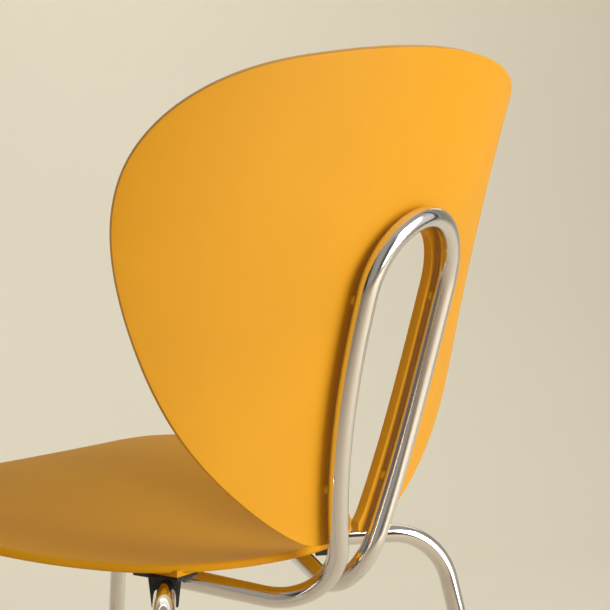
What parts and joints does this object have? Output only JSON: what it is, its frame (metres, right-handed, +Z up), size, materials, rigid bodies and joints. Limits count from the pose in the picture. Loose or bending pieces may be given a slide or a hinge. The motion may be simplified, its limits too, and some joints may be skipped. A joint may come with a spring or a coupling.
{
  "type": "stacking chair",
  "caption": "Armless stacking chair: moulded plastic seat and separate moulded back on a frame of bent round chromed tube, the back carried by a hairpin tube behind a keyhole slot.",
  "frame": {"origin": "On the floor, under the middle of the chair's bounding box.", "axes": "+Z is up, +X is the sitter's left, the sitter faces -Y and the back is on the +Y side."},
  "size_m": [0.5, 0.564, 0.7896],
  "materials": {
    "shell_yellow": "moulded with a very fine matte texture, warm golden yellow",
    "chrome_tube": "polished chrome plate on steel tube",
    "saddle_black": "injection-moulded, satin black",
    "screw_steel": "zinc-plated steel",
    "insert_brass": "turned brass",
    "glide_black": "moulded black plastic"
  },
  "bodies": {
    "root": {"seat_shell": "shell_yellow", "back_shell": "shell_yellow", "back_loop_tube": "chrome_tube", "rear_leg_tube": "chrome_tube", "front_leg_tube": "chrome_tube", "centre_strut": "chrome_tube", "seat_screws": "screw_steel", "seat_inserts": "insert_brass", "back_screws": "screw_steel", "back_spacers": "shell_yellow", "saddle_rear_left": "saddle_black", "saddle_rear_right": "saddle_black", "saddle_front_left": "saddle_black", "saddle_front_right": "saddle_black", "glide_rear_left": "glide_black", "glide_rear_right": "glide_black", "glide_front_left": "glide_black", "glide_front_right": "glide_black"}
  },
  "joints": []
}
